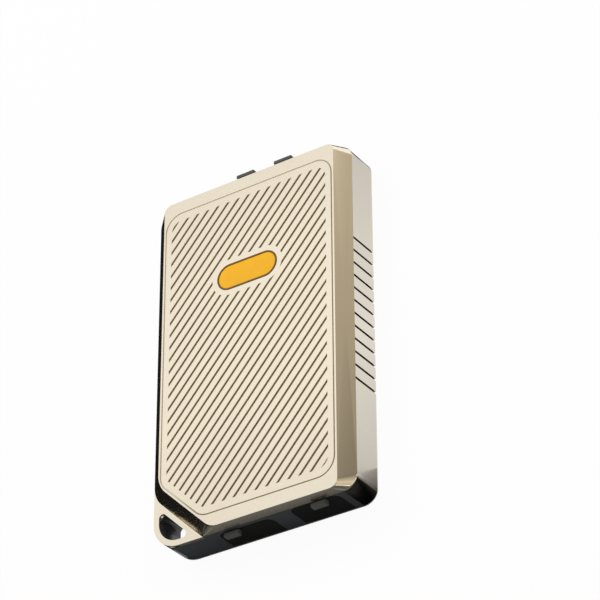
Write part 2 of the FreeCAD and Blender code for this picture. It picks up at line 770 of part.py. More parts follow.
def make_case_screws():
    """Countersunk screws with a hexagon key, from the back plate into the cover's pillars."""
    screws = []
    for index, (x, y) in enumerate(SCREWS):
        head = document.addObject("Part::Cone", f"screw_head_{index}")
        bind(head, "Radius1", dim("screw_head"))
        bind(head, "Radius2", dim("screw_radius"))
        bind(head, "Height", dim("screw_sink"))
        place(head, x, y, 0.0)
        shank = rod(f"screw_shank_{index}", "z", x, y, dim("screw_sink") - 0.2,
                    dim("screw_radius"), board_top + dim("screw_grip") - dim("screw_sink") + 0.2)
        key = document.addObject("Part::Prism", f"screw_key_{index}")
        key.Polygon = 6
        bind(key, "Circumradius", dim("screw_key"))
        bind(key, "Height", dim("screw_sink") * 0.7)
        place(key, x, y, 0.0)
        solid = fuse(f"screw_body_{index}", [head, shank])
        screws.append(cut(f"case_screw_{index}", solid, [key]))
    node(group("case_screws", screws))


# ---------------------------------------------------------------- end panels and dust covers

class Cover:
    """Where a dust cover lies in its end panel, and what its plug and tab are."""

    def __init__(self, name, end, middle, width, low, high, tab, plug):
        self.name = name
        self.end = end
        self.left = middle - width / 2
        self.right = middle + width / 2
        self.low = low
        self.high = high
        self.tab_middle, self.tab_width, self.tab_reach = tab
        self.plug = plug


def port_opening(middle, width, height):
    return middle - width / 2, middle + width / 2, dim("port_axis") - height / 2, \
        dim("port_axis") + height / 2


ADAPTER_HOLE = (dim("adapter_width") + dim("seat_gap"), dim("adapter_height") + dim("seat_gap"))
usb_middle = dim("board_level") - dim("usb_height") / 2


def plug_of(middle, level, width, height):
    """A dust cover's plug, smaller than the socket it closes."""
    across = width / 2 - dim("plug_gap")
    up = height / 2 - dim("plug_gap")
    return middle - across, middle + across, level - up, level + up


TOP_TAB = (dim("top_tab_width"), dim("top_tab_reach"))
LOW_TAB = (dim("low_tab_width"), dim("low_tab_reach"))
COVERS = (
    Cover("trace_port_cover", 1, dim("first_port"), dim("top_cover_width"), dim("top_cover_low"),
          dim("top_cover_high"), (dim("first_port"),) + TOP_TAB,
          plug_of(dim("first_port"), dim("port_axis"), dim("socket_width"), dim("socket_height"))),
    Cover("meter_port_cover", 1, dim("second_port"), dim("top_cover_width"),
          dim("top_cover_low"), dim("top_cover_high"), (dim("second_port"),) + TOP_TAB,
          plug_of(dim("second_port"), dim("port_axis"), dim("socket_width"),
                  dim("socket_height"))),
    Cover("charge_port_cover", -1, dim("charge_port"), dim("charge_cover_width"),
          dim("low_cover_low"), dim("charge_cover_high"),
          (dim("charge_port") + dim("charge_tab_shift"),) + LOW_TAB,
          plug_of(dim("charge_port"), usb_middle, dim("usb_width") + 5.0,
                  dim("usb_height") + 3.0)),
    Cover("source_port_cover", -1, source_x, dim("source_cover_width"),
          dim("low_cover_low"), dim("source_cover_high"),
          (source_x + dim("source_tab_shift"),) + LOW_TAB,
          plug_of(source_x, dim("port_axis"), dim("source_radius") * 2.6,
                  dim("source_radius") * 2.1)),
)


def cut_cover_seat(body, cover):
    """Recess, hinge trough and pin bore for one dust cover."""
    end = cover.end
    gap = dim("cover_gap")
    left, right = cover.left - gap, cover.right + gap
    recess = end_sketch(body, end)
    corner = dim("cover_corner") + gap
    outline(recess, ((left, cover.low - gap), (right, cover.low - gap),
                     (right, cover.high + gap, corner), (left, cover.high + gap, corner)))
    end_pocket(recess, end, dim("cover_wall") + gap)
    trough = end_sketch(body, end)
    rectangle(trough, left, right, cover.low - gap, cover.low + dim("barrel_radius") * 2 + gap)
    end_pocket(trough, end, dim("barrel_radius") * 2 + gap)
    bore = new_sketch(body, "YZ_Plane", right + dim("pin_reach"))
    circle(bore, (half_length - dim("barrel_radius")) * end, cover.low + dim("barrel_radius"),
           dim("pin_radius"))
    pocket(bore, right - left + dim("pin_reach") * 2)


def make_dust_cover(cover):
    """Flap with a hinge barrel along its lower edge, a plug behind and a pull tab in front."""
    end = cover.end
    radius = dim("barrel_radius")
    body = new_body(cover.name)
    flap = end_sketch(body, end)
    corner = dim("cover_corner")
    outline(flap, ((cover.left, cover.low + radius), (cover.right, cover.low + radius),
                   (cover.right, cover.high, corner), (cover.left, cover.high, corner)))
    end_pad(flap, end, dim("cover_wall"))
    barrel = new_sketch(body, "YZ_Plane", cover.left)
    axis_y = (half_length - radius) * end
    axis_z = cover.low + radius
    circle(barrel, axis_y, axis_z, radius)
    pad(barrel, cover.right - cover.left)
    plug = end_sketch(body, end, dim("cover_wall"))
    left, right, low, high = cover.plug
    rectangle(plug, left, right, low, high)
    end_pad(plug, end, dim("plug_reach"))
    tab = new_sketch(body, "YZ_Plane", cover.tab_middle - cover.tab_width / 2)
    root = (half_length - 0.4) * end
    tip = (half_length + cover.tab_reach) * end
    lip = (half_length + cover.tab_reach - dim("tab_lip_length")) * end
    base = cover.high - dim("tab_wall")
    outline(tab, ((root, base), (tip, base), (tip, cover.high + dim("tab_lip"), 0.4),
                  (lip, cover.high + dim("tab_lip")), (lip, cover.high), (root, cover.high)))
    pad(tab, cover.tab_width)
    bore = new_sketch(body, "YZ_Plane", cover.right)
    circle(bore, axis_y, axis_z, dim("pin_radius") + dim("pin_gap"))
    pocket(bore, cover.right - cover.left)
    node(body)


def make_hinge_pins(label, end):
    """Steel pins that the dust covers of one end turn on, held in the panel at both ends."""
    pins = []
    for cover in COVERS:
        if cover.end != end:
            continue
        reach = dim("cover_gap") + dim("pin_reach")
        pins.append(rod(f"{cover.name}_pin", "x", cover.left - reach,
                        (half_length - dim("barrel_radius")) * end,
                        cover.low + dim("barrel_radius"), dim("pin_radius"),
                        cover.right - cover.left + reach * 2))
    node(group(label, pins))


def make_top_panel():
    """End panel with two port openings, the power button's hole and the light pipes' holes."""
    body = new_body("top_panel")
    edge = panel_edge
    plate = end_sketch(body, 1)
    rectangle(plate, -edge, edge, 0.0, foot_level)
    end_pad(plate, 1, dim("panel_wall"))
    flange = end_sketch(body, 1, dim("panel_wall"))
    lap = edge + dim("panel_lap")
    rectangle(flange, -lap, lap, floor_level, tongue_level)
    end_pad(flange, 1, dim("panel_flange"))
    openings = end_sketch(body, 1)
    for port in ("first_port", "second_port"):
        rectangle(openings, *port_opening(dim(port), *ADAPTER_HOLE))
    rectangle(openings, *button_outline(dim("button_gap")))
    for x in light_places():
        half, tall = dim("light_width") / 2, dim("light_height") / 2
        rectangle(openings, x - half, x + half, button_level - tall, button_level + tall)
    end_pocket(openings, 1, dim("panel_wall") + dim("panel_flange"))
    for cover in COVERS[:2]:
        cut_cover_seat(body, cover)
    node(body)


def make_bottom_panel():
    """End panel with the charging and red source openings; it carries the lanyard ear."""
    body = new_body("bottom_panel")
    plate = end_sketch(body, -1)
    rectangle(plate, ear_toe, panel_edge, 0.0, foot_level)
    end_pad(plate, -1, dim("panel_wall"))
    flange = end_sketch(body, -1, dim("panel_wall"))
    rectangle(flange, ear_toe + 2.0, panel_edge + dim("panel_lap"), floor_level, tongue_level)
    end_pad(flange, -1, dim("panel_flange"))
    ear = new_sketch(body, "XY_Plane")
    upper, outer, lower = ear_corner(as_size(0), as_size(0))
    root = dim("panel_wall")
    outline(ear, (upper, outer + (dim("ear_radius"),), (ear_toe + 2.0, -half_length),
                  (ear_toe + 2.0, -panel_back), (ear_toe - root, -panel_back)))
    pad(ear, tongue_level)
    opening = new_sketch(body, "XY_Plane")
    lanyard_hole(opening)
    pocket(opening, tongue_level, along_normal=True)
    ports = end_sketch(body, -1)
    across = dim("usb_width") / 2 + 0.15
    up = dim("usb_height") / 2 + 0.15
    rectangle(ports, dim("charge_port") - across, dim("charge_port") + across, usb_middle - up,
              usb_middle + up, as_size(1.5))
    circle(ports, source_x, dim("port_axis"), dim("source_radius") + dim("seat_gap") / 2)
    end_pocket(ports, -1, dim("panel_wall") + dim("panel_flange"))
    for cover in COVERS[2:]:
        cut_cover_seat(body, cover)
        pocket_for_plug = end_sketch(body, -1)
        left, right, low, high = cover.plug
        slack = dim("plug_gap")
        rectangle(pocket_for_plug, left - slack, right + slack, low - slack, high + slack)
        end_pocket(pocket_for_plug, -1, dim("cover_wall") + dim("plug_reach") + 0.2)
    node(body)


# ---------------------------------------------------------------- power button and lights

def button_outline(gap):
    """Left, right, low, high and corner radius of the button, grown by a gap."""
    half = dim("button_width") / 2 + gap
    tall = dim("button_height") / 2 + gap
    return button_x - half, button_x + half, button_level - tall, button_level + tall, tall - 0.01


def light_places():
    """Middles of the three light pipes across the case."""
    return [button_x + dim("light_shift") + dim("light_pitch") * index for index in (-1, 0, 1)]


def make_power_button():
    """Oval cap that slides in the top panel, with a collar behind it."""
    body = new_body("power_button")
    cap = end_sketch(body, 1, -dim("button_proud"))
    x0, x1, z0, z1, radius = button_outline(as_size(0))
    rectangle(cap, x0, x1, z0, z1, radius)
    depth = dim("button_proud") + dim("panel_wall") + dim("panel_flange") + 0.05
    end_pad(cap, 1, depth)
    collar = end_sketch(body, 1, dim("panel_wall") + dim("panel_flange") + 0.05)
    x0, x1, z0, z1, _ = button_outline(as_size(0.5))
    rectangle(collar, x0, x1, z0, z1 - 0.4)
    end_pad(collar, 1, 0.6)
    front = (half_length + dim("button_proud")).value
    round_edges(body, dim("button_chamfer"), lambda edge: lies_at(edge, 1, front), "Chamfer")
    node(body)
    front = flange_back - 0.65 - dim("button_travel") - 0.05
    nub = block("switch_nub", button_x - 0.9, button_x + 0.9, front - 1.2, front,
                button_level - 0.9, button_level + 0.9)
    case = block("switch_case", button_x - 3.0, button_x + 3.0, front - 3.4, front - 0.6,
                 button_level - 1.6, dim("board_level"))
    node(fuse("power_switch", [case, nub]))


def make_lights():
    """Three light pipes in the top panel, each with its lamp on the main board."""
    pipes = []
    lamps = []
    half, tall = dim("light_width") / 2, dim("light_height") / 2
    back = flange_back - 0.5
    for index, x in enumerate(light_places()):
        pipes.append(block(f"light_pipe_{index}", x - half, x + half, back, half_length + 0.1,
                           button_level - tall, button_level + tall))
        lamps.append(block(f"status_lamp_{index}", x - half, x + half, back - 1.6, back - 0.2,
                           button_level - half, dim("board_level")))
    node(group("light_pipes", pipes))
    node(group("status_lamps", lamps))


# ---------------------------------------------------------------- ports

def make_adapter(label, x):
    """Optical adapter: plug opening with a centre barrel that holds the alignment sleeve."""
    level = dim("port_axis")
    half, tall = dim("adapter_width") / 2, dim("adapter_height") / 2
    shell = block(f"{label}_shell", x - half, x + half, adapter_back, adapter_front,
                  level - tall, level + tall)
    half, tall = dim("socket_width") / 2, dim("socket_height") / 2
    floor = adapter_front - dim("socket_cut")
    socket = block(f"{label}_socket", x - half, x + half, floor, adapter_front + 1.0,
                   level - tall, level + tall)
    barrel = rod(f"{label}_barrel", "y", x, floor - 1.0, level, sleeve_radius + 0.6,
                 dim("socket_cut") - 1.6)
    bore = rod(f"{label}_bore", "y", x, adapter_back - 1.0, level, sleeve_radius,
               dim("adapter_length") + 2.0)
    hollow = cut(f"{label}_hollow", shell, [socket])
    return node(cut(label, fuse(f"{label}_body", [hollow, barrel]), [bore]))


def make_sleeve(label, x, mouth, end):
    """Alignment sleeve that takes the plug's ferrule."""
    level = dim("port_axis")
    axis = "y" if end < 0 else "-y"
    wall = rod(f"{label}_wall", axis, x, mouth, level, sleeve_radius, dim("sleeve_length"))
    bore = rod(f"{label}_bore", axis, x, mouth + 1.0 * end, level, dim("sleeve_bore"),
               dim("sleeve_length") + 2.0)
    node(cut(label, wall, [bore]))


def make_stub(label, x, mouth, end, length):
    """Ferrule stub in its holder, from just behind the sleeve back to its light source."""
    axis = "y" if end < 0 else "-y"
    front = mouth - (dim("sleeve_length") + dim("stub_gap")) * end
    back = dim("sleeve_length") + dim("stub_gap")
    node(rod(label, axis, x, front, dim("port_axis"), sleeve_radius, as_size(length) - back))


def make_ports():
    """Two optical adapters at the top; a charging socket and a source port at the bottom."""
    mouth = adapter_front - 2.6
    for name, port in (("trace", "first_port"), ("meter", "second_port")):
        make_adapter(f"{name}_adapter", dim(port))
        make_sleeve(f"{name}_sleeve", dim(port), mouth, 1)
        make_stub(f"{name}_stub", dim(port), mouth, 1, mouth - adapter_back)
    x = source_x
    length = dim("source_length")
    front = -half_length + dim("cover_wall") + dim("plug_reach") + 0.2
    body = rod("source_barrel", "y", x, front, dim("port_axis"), dim("source_radius"), length)
    bore = rod("source_bore", "y", x, front - 1.0, dim("port_axis"), sleeve_radius, length + 2.0)
    node(cut("source_adapter", body, [bore]))
    make_sleeve("source_sleeve", x, front + 0.3, -1)
    make_stub("source_stub", x, front + 0.3, -1, length - 0.3)
    node(rod("source_laser", "y", x, front + length, dim("port_axis"), 2.8, dim("laser_length")))

    x = dim("charge_port")
    front = -half_length + dim("cover_wall") + dim("plug_reach") + 0.4
    shell = new_body("usb_shell")
    tube = new_sketch(shell, "XZ_Plane", -front)
    half, tall = dim("usb_width") / 2, dim("usb_height") / 2
    rectangle(tube, x - half, x + half, usb_middle - tall, usb_middle + tall, tall - 0.01)
    rectangle(tube, x - half + 0.3, x + half - 0.3, usb_middle - tall + 0.3,
              usb_middle + tall - 0.3, tall - 0.31)
    pad(tube, 7.4, reverse=True)
    node(shell)
    base = block("usb_base", x - 3.4, x + 3.4, front + 5.4, front + 7.4, usb_middle - 1.15,
                 usb_middle + 1.15)
    blade = block("usb_blade", x - 3.3, x + 3.3, front + 0.8, front + 5.5, usb_middle - 0.35,
                  usb_middle + 0.35)
    node(fuse("usb_tongue", [base, blade]))


# ---------------------------------------------------------------- inside

def make_main_board():
    """Circuit board with notches round the adapters and square holes over the screw bosses."""
    body = new_body("main_board")
    side = dim("frame_wall") + dim("board_gap")
    width = half_width - side
    top = flange_back - 1.0
    bottom = -half_length + dim("panel_wall") + dim("panel_flange") + 1.0
    leg_sum = dim("cut_leg") + side * ROOT_TWO - half_width - half_length
    notch_left = dim("first_port") - dim("adapter_width") / 2 - 0.8
    notch_right = dim("second_port") + dim("adapter_width") / 2 + 0.8
    low_left = source_x - dim("source_radius") - 0.8
    low_right = source_x + dim("source_radius") + 0.8
    low_deep = source_end + 1.0
    blank = new_sketch(body, "XY_Plane", dim("board_level"))
    outline(blank, ((-width, top), (-width, leg_sum + width), (leg_sum - bottom, bottom),
                    (low_left, bottom), (low_left, low_deep), (low_right, low_deep),
                    (low_right, bottom), (width, bottom), (width, top), (notch_right, top),
                    (notch_right, notch_deep), (notch_left, notch_deep), (notch_left, top)))
    pad(blank, dim("board_wall"))
    holes = new_sketch(body, "XY_Plane", dim("board_level"))
    for x, y in SCREWS:
        square(holes, x, y, dim("screw_radius") + 0.15)
    pocket(holes, dim("board_wall"), along_normal=True)
    node(body)


def rounded_block(label, left, right, back, front, low, high, corner):
    """A block with rounded upright corners."""
    body = new_body(label)
    base = new_sketch(body, "XY_Plane", low)
    rectangle(base, left, right, back, front, corner)
    pad(base, as_size(high) - low)
    return body


def make_inside():
    """Battery, optics, fibre reserve and the parts on the main board."""
    plate = dim("plate_wall")
    gap = dim("inner_gap")
    engine_right = dim("first_port") + dim("engine_right")
    window_right = half_width - dim("floor_ledge")
    tray_radius = (window_right - gap * 2 - engine_right) / 2
    tray_x = window_right - gap - tray_radius
    tray_y = engine_front - tray_radius - gap

    low = plate + 0.4
    left = -half_width + 12.35
    right = window_right - 5.35
    back = source_end + gap
    front = tray_y - tray_radius - gap * 2
    node(block("battery_pad", left + 3.0, right - 3.0, back + 4.0, front - 4.0, plate, low))
    node(rounded_block("battery", left, right, back, front, low, dim("board_level") - 1.0, 2.0))

    level = dim("port_axis")
    x = dim("first_port")
    node(block("trace_coupler", x - 3.6, x + 3.6, engine_front, adapter_back, level - 3.4,
               dim("board_level") - 0.1))
    node(rounded_block("optical_engine", engine_right - dim("engine_width"), engine_right,
                       engine_front - dim("engine_length"), engine_front, plate,
                       dim("board_level") - 0.6, 1.5))
    for name, shift in (("laser_can", -17.0), ("receiver_can", -9.0)):
        node(rod(name, "y", x + shift, engine_front, 4.4, 2.8, 5.0))
    node(rod("meter_detector", "y", dim("second_port"), adapter_back - 4.5, level, 3.0, 4.5))

    hub_radius = tray_radius - 5.4
    base = rod("tray_base", "z", tray_x, tray_y, plate, tray_radius, 0.8)
    hub = rod("tray_hub", "z", tray_x, tray_y, plate, hub_radius, 5.4)
    eye = rod("tray_eye", "z", tray_x, tray_y, plate - 1.0, hub_radius - 1.2, 8.0)
    node(cut("fibre_tray", fuse("tray_body", [base, hub]), [eye]))
    wound = rod("coil_wound", "z", tray_x, tray_y, plate + 1.0, tray_radius - 1.5, 3.6)
    core = rod("coil_core", "z", tray_x, tray_y, plate, hub_radius + 0.1, 8.0)
    node(cut("fibre_coil", wound, [core]))

    top = board_top
    node(block("processor", -6.0, 8.0, -18.0, -4.0, top, top + 1.2))
    node(block("shield_can", -28.0, -8.0, notch_deep - 39.5, notch_deep - 13.5, top, top + 2.4))
    node(block("radio_module", 8.0, 24.0, notch_deep - 27.5, notch_deep - 3.5, top, top + 2.0))
    node(rounded_block("power_inductors", -4.0, 3.0, -half_length + 19.0, -half_length + 26.0, top,
                       top + 3.0, 1.2))


# ---------------------------------------------------------------- assembly and export

def make_all():
    shell = make_front_cover()
    node(cut("front_cover", shell, [make_flutes()]))
    make_badge()
    make_side_frame()
    make_back_plate()
    make_case_screws()
    make_top_panel()
    make_bottom_panel()
    for cover in COVERS:
        make_dust_cover(cover)
    make_hinge_pins("top_hinge_pins", 1)
    make_hinge_pins("bottom_hinge_pins", -1)
    make_power_button()
    make_lights()
    make_ports()
    make_main_board()
    make_inside()


def check_and_export():
    document.recompute()
    for item in document.Objects:
        if "Invalid" in item.State or "Error" in item.State:
            raise RuntimeError(f"{item.Label} failed: {item.State}")
    for label, item in NODES.items():
        if item.Shape.isNull() or not item.Shape.isValid() or not item.Shape.Solids:
            raise RuntimeError(f"{label} has no valid solid")
    os.makedirs("parts", exist_ok=True)
    for label, item in NODES.items():
        item.Shape.exportStep(os.path.join("parts", label + ".step"))
        print(f"{label}: {len(item.Shape.Solids)} solid(s), {item.Shape.Volume:.2f} mm3")


make_all()
check_and_export()
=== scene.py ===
"""Looks of a pocket optical time domain reflectometer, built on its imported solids.

Laid out as an add-on and run as a script. Everything is in metres in the part's own frame:
the back lies on z = 0, the fluted front looks along +Z and the two fibre ports are at +Y.
"""
import math

import bpy
import numpy as np
from bpy.props import FloatProperty, FloatVectorProperty, IntProperty, PointerProperty
from mathutils import Matrix, Vector


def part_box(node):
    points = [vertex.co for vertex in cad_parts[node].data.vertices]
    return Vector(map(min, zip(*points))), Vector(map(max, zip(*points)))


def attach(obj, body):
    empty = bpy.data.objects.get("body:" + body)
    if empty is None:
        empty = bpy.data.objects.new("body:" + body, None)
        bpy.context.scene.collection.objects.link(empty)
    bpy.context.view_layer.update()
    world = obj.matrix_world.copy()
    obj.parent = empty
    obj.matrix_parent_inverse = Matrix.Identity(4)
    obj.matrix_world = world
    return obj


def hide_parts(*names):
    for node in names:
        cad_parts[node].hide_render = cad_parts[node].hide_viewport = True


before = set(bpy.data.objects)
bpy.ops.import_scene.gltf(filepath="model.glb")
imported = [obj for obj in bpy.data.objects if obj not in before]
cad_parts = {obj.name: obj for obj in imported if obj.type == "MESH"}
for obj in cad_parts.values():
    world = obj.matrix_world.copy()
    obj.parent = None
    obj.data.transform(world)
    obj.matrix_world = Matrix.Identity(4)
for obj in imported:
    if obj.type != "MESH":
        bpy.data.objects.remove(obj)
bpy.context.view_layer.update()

bl_info = {
    "name": "Pocket Reflectometer Looks",
    "version": (1, 0, 0),
    "blender": (4, 5, 0),
    "location": "View3D > Sidebar > Reflectometer",
    "description": "Finishes, fine pieces and studio for a pocket optical reflectometer",
    "category": "Object",
}

MM = 0.001
GRAIN = 0.02 * MM
WHITE = (1.0, 1.0, 1.0, 1.0)


# ---------------------------------------------------------------- settings

def length(name, description, millimetres):
    """A property in metres, given in millimetres."""
    return FloatProperty(name=name, description=description, default=millimetres * MM,
                         min=0.0, precision=5, unit="LENGTH")


def colour(name, description, red, green, blue):
    """A colour property, given as it looks on a screen, from 0 to 255."""
    screen = np.array((red, green, blue)) / 255.0
    linear = np.where(screen <= 0.04045, screen / 12.92, ((screen + 0.055) / 1.055) ** 2.4)
    return FloatVectorProperty(name=name, description=description, subtype="COLOR", size=3,
                               min=0.0, max=1.0, default=tuple(float(part) for part in linear))


class ReflectometerFinish(bpy.types.PropertyGroup):
    """Colours of the finishes."""
    champagne: colour("Champagne", "Sprayed metal of the front cover", 250, 239, 217)
    silver: colour("Silver", "Anodised metal of the side frame", 224, 217, 203)
    # groove_shade is painted shade, laid in the floors of the flutes and the line.
    groove_shade: colour("Flute", "Shaded paint in the floor of the flutes and the line", 161, 149, 127)
    slot: colour("Slot", "Shade in the grip slots of the side frame", 88, 85, 80)
    plate: colour("Back plate", "Blasted metal of the back plate", 188, 186, 182)
    panel: colour("End panel", "Satin moulding of the two end panels", 66, 68, 70)
    rubber: colour("Rubber", "Dust covers", 32, 32, 31)
    # lit_tab is painted light: the pull tabs are painted paler where they stand out past the case
    # into the light.
    lit_tab: colour("Tabs", "Pull tabs, paler from handling", 92, 92, 89)
    badge: colour("Badge", "Amber enamel of the badge", 255, 188, 30)
    badge_rim: colour("Badge rim", "Brown line round the badge", 112, 84, 40)
    button: colour("Button", "Power button", 74, 75, 78)


class ReflectometerSizes(bpy.types.PropertyGroup):
    """Sizes of the fine pieces and of the edges."""
    edge: length("Edge", "Broken edge of the metal pieces", 0.16)
    moulded_edge: length("Moulded edge", "Edge radius of the plastic and rubber pieces", 0.2)
    badge_crown: length("Badge crown", "Rise of the badge's middle over its edge", 0.12)
    fibre: length("Fibre", "Diameter of the wound fibre", 0.5)
    contact: length("Contact", "Width of one contact in the charging socket", 0.26)
    fibre_turns: IntProperty(name="Fibre turns", description="Turns in one layer of the coil",
                             default=7, min=1, max=40)


class ReflectometerStage(bpy.types.PropertyGroup):
    """Camera and lamps."""
    lens: FloatProperty(name="Lens", description="Focal length on the 36 mm sensor",
                        default=173.2, min=10.0, subtype="NONE")
    key: FloatProperty(name="Key", description="Power of the large overhead softbox, watts",
                       default=12.0, min=0.0, unit="POWER")
    fill: FloatProperty(name="Fill", description="Power of the softbox at the right, watts",
                        default=4.0, min=0.0, unit="POWER")
    world: FloatProperty(name="World", description="Strength of the even light from all round",
                         default=0.35, min=0.0, subtype="FACTOR", soft_max=1.0)


# ---------------------------------------------------------------- materials

class Nodes:
    """A short way to write a node tree."""

    def __init__(self, tree):
        self.tree = tree

    def add(self, kind, options=None, **inputs):
        """A node with its options set and its inputs, named with underscores, set or linked."""
        node = self.tree.nodes.new(kind)
        for key, value in (options or {}).items():
            setattr(node, key, value)
        for key, value in inputs.items():
            self.set(node, key.replace("_", " "), value)
        return node

    def set(self, node, socket, value):
        """Sets or links one input, given by its name or its number."""
        target = node.inputs[socket]
        if isinstance(value, bpy.types.NodeSocket):
            self.tree.links.new(value, target)
        else:
            target.default_value = value

    def spread(self, value, low, high, start=0.3, end=0.7):
        """A value carried from start..end to low..high."""
        node = self.add("ShaderNodeMapRange", Value=value, From_Min=start, From_Max=end,
                        To_Min=low, To_Max=high)
        return node.outputs["Result"]

    def mix(self, factor, first, second):
        """Colours mixed by a factor, on the node's sockets for colours."""
        node = self.add("ShaderNodeMix", {"data_type": "RGBA"})
        for socket, value in ((0, factor), (6, first), (7, second)):
            self.set(node, socket, value)
        return node.outputs[2]

    def math(self, operation, *values):
        """A sum, product or other operation on one, two or three values."""
        node = self.add("ShaderNodeMath", {"operation": operation})
        for socket, value in enumerate(values):
            self.set(node, socket, value)
        return node.outputs[0]

    def compare(self, value, middle, reach):
        """1 where the value lies within reach of the middle, else 0."""
        return self.math("COMPARE", value, middle, reach)

    def blend(self, factor, first, second):
        """Two shader nodes mixed by a factor."""
        node = self.add("ShaderNodeMixShader", Fac=factor)
        self.set(node, 1, first.outputs[0])
        self.set(node, 2, second.outputs[0])
        return node

    def finish(self, kind, shader):
        """Links a shader node to the tree's output of this kind."""
        self.set(self.tree.nodes[kind + " Output"], "Surface", shader.outputs[0])


class Finish(Nodes):
    """The node tree of a new material, with its shader and its place in object space."""

    def __init__(self, name):
        self.material = bpy.data.materials.new(name)
        self.material.use_nodes = True
        super().__init__(self.material.node_tree)
        self.shader = self.tree.nodes["Principled BSDF"]
        self.place = self.add("ShaderNodeTexCoord").outputs["Object"]

    def noise(self, scale, detail=4.0, roughness=0.55, stretch=None):
        """Noise in object space; its scale is cycles per metre."""
        place = self.place
        if stretch is not None:
            mapping = self.add("ShaderNodeMapping", Scale=stretch, Vector=place)
            place = mapping.outputs["Vector"]
        node = self.add("ShaderNodeTexNoise", Vector=place, Scale=scale, Detail=detail,
                        Roughness=roughness)
        return node.outputs["Fac"]

    def along(self, axis):
        """The place along X, Y or Z."""
        return self.add("ShaderNodeSeparateXYZ", Vector=self.place).outputs[axis]

    def bump(self, height, strength, distance):
        """The normal on a surface raised by this height."""
        node = self.add("ShaderNodeBump", Height=height, Strength=strength, Distance=distance)
        return node.outputs["Normal"]


def rgba(colour_value, factor=1.0):
    """A colour with alpha, made lighter or darker by a factor."""
    return tuple(min(1.0, part * factor) for part in colour_value) + (1.0,)


def on_bevels(n):
    """1 where the true normal leans like the bevels, 0 on level and upright faces."""
    geometry = n.add("ShaderNodeNewGeometry")
    lean = n.add("ShaderNodeSeparateXYZ", Vector=geometry.outputs["True Normal"])
    return n.compare(lean.outputs["Z"], 0.5, 0.4)


def groove_shade_mask(n, bevels):
    """1 on the floors and lower walls of the flutes and the line, 0 elsewhere.

    Three tests are multiplied: the height lies near the floors, the place is clear of the two
    ends, and the surface isn't a bevel. Where the mask is 1 the grooves get painted shade. The
    line's floor, higher than the flutes', gets weaker painted shade and so is paler, except along
    its right side and its lower end.
    """
    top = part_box("front_cover")[1]
    flute_depth, line_depth, clear_end = 0.5 * MM, 0.35 * MM, 3.0 * MM
    middle_depth = flute_depth - 0.06 * MM
    x, y, z = (n.along(axis) for axis in "XYZ")
    near_floor = n.compare(z, top.z - middle_depth, 0.17 * MM)
    clear_of_ends = n.compare(y, 0.0, top.y - clear_end)
    level = n.math("SUBTRACT", 1.0, bevels)
    mask = n.math("MULTIPLY", level, n.math("MULTIPLY", near_floor, clear_of_ends))
    side = n.math("MULTIPLY", x, 1.0 / top.x)
    end = n.math("MULTIPLY", y, -1.0 / top.y)
    shade = n.spread(n.math("MAXIMUM", side, end), 0.45, 1.0, 0.75, 0.88)
    line = n.compare(z, top.z - line_depth, 0.04 * MM)
    return n.math("MULTIPLY", mask, n.math("MAXIMUM", shade, n.math("SUBTRACT", 1.0, line)))


def in_slots(n):
    """1 deeper than the broken edges in the side walls of the side frame, 0 elsewhere."""
    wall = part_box("side_frame")[1].x - 0.2 * MM
    return n.math("LESS_THAN", n.math("ABSOLUTE", n.along("X")), wall)


def satin_metal(name, tint, roughness, grain=5200.0, grain_strength=0.12, shaded=None,
                slotted=None):
    """Blasted and anodised metal: fine grain, soft clouding of colour and gloss.

    With a shaded colour the metal is the front cover's, with painted shade in the grooves and
    smoother bevels, and with a slotted colour the side frame's, with painted shade in the slots.
    """
    n = Finish(name)
    cloud = n.noise(28.0, detail=3.0)
    fine = n.noise(grain, detail=2.0, roughness=0.7)
    paint = n.mix(n.spread(cloud, 0.0, 1.0), rgba(tint, 0.96), rgba(tint))
    gloss = n.spread(fine, roughness - 0.04, roughness + 0.05)
    if shaded is not None:
        bevels = on_bevels(n)
        # Painted shade: the grooves take the darker groove colour.
        paint = n.mix(groove_shade_mask(n, bevels), paint, rgba(shaded))
        smooth = n.spread(bevels, 1.0, 0.5, 0.0, 1.0)
        gloss = n.math("MULTIPLY", gloss, smooth)
        grain_strength = n.spread(bevels, grain_strength, grain_strength / 4, 0.0, 1.0)
    if slotted is not None:
        # Painted shade: everything set in from the outer side walls, the grip slots among it, takes
        # the darker slot colour.
        paint = n.mix(in_slots(n), paint, rgba(slotted))
    n.set(n.shader, "Base Color", paint)
    n.set(n.shader, "Metallic", 1.0)
    n.set(n.shader, "Roughness", gloss)
    n.set(n.shader, "Normal", n.bump(fine, grain_strength, GRAIN))
    return n.material


def brushed_metal(name, tint, roughness):
    """Drawn or turned metal: fine lines along X."""
    n = Finish(name)
    lines = n.noise(900.0, detail=3.0, stretch=(1.0, 30.0, 30.0))
    n.set(n.shader, "Base Color", n.mix(n.spread(lines, 0.0, 1.0), rgba(tint, 0.82), rgba(tint)))
    n.set(n.shader, "Metallic", 1.0)
    n.set(n.shader, "Roughness", n.spread(lines, roughness - 0.06, roughness + 0.08))
    n.set(n.shader, "Normal", n.bump(lines, 0.08, 0.03 * MM))
    return n.material


def moulding(name, tint, roughness):
    """Moulded plastic with a spark-eroded texture and faint flow clouds."""
    n = Finish(name)
    texture = n.noise(2600.0, detail=2.0, roughness=0.5)
    flow = n.noise(45.0, detail=2.0)
    n.set(n.shader, "Base Color", n.mix(n.spread(flow, 0.0, 1.0), rgba(tint, 0.9),
                                        rgba(tint, 1.06)))
    n.set(n.shader, "Roughness", n.spread(texture, roughness - 0.05, roughness + 0.07))
    n.set(n.shader, "Normal", n.bump(texture, 0.15, GRAIN))
    return n.material


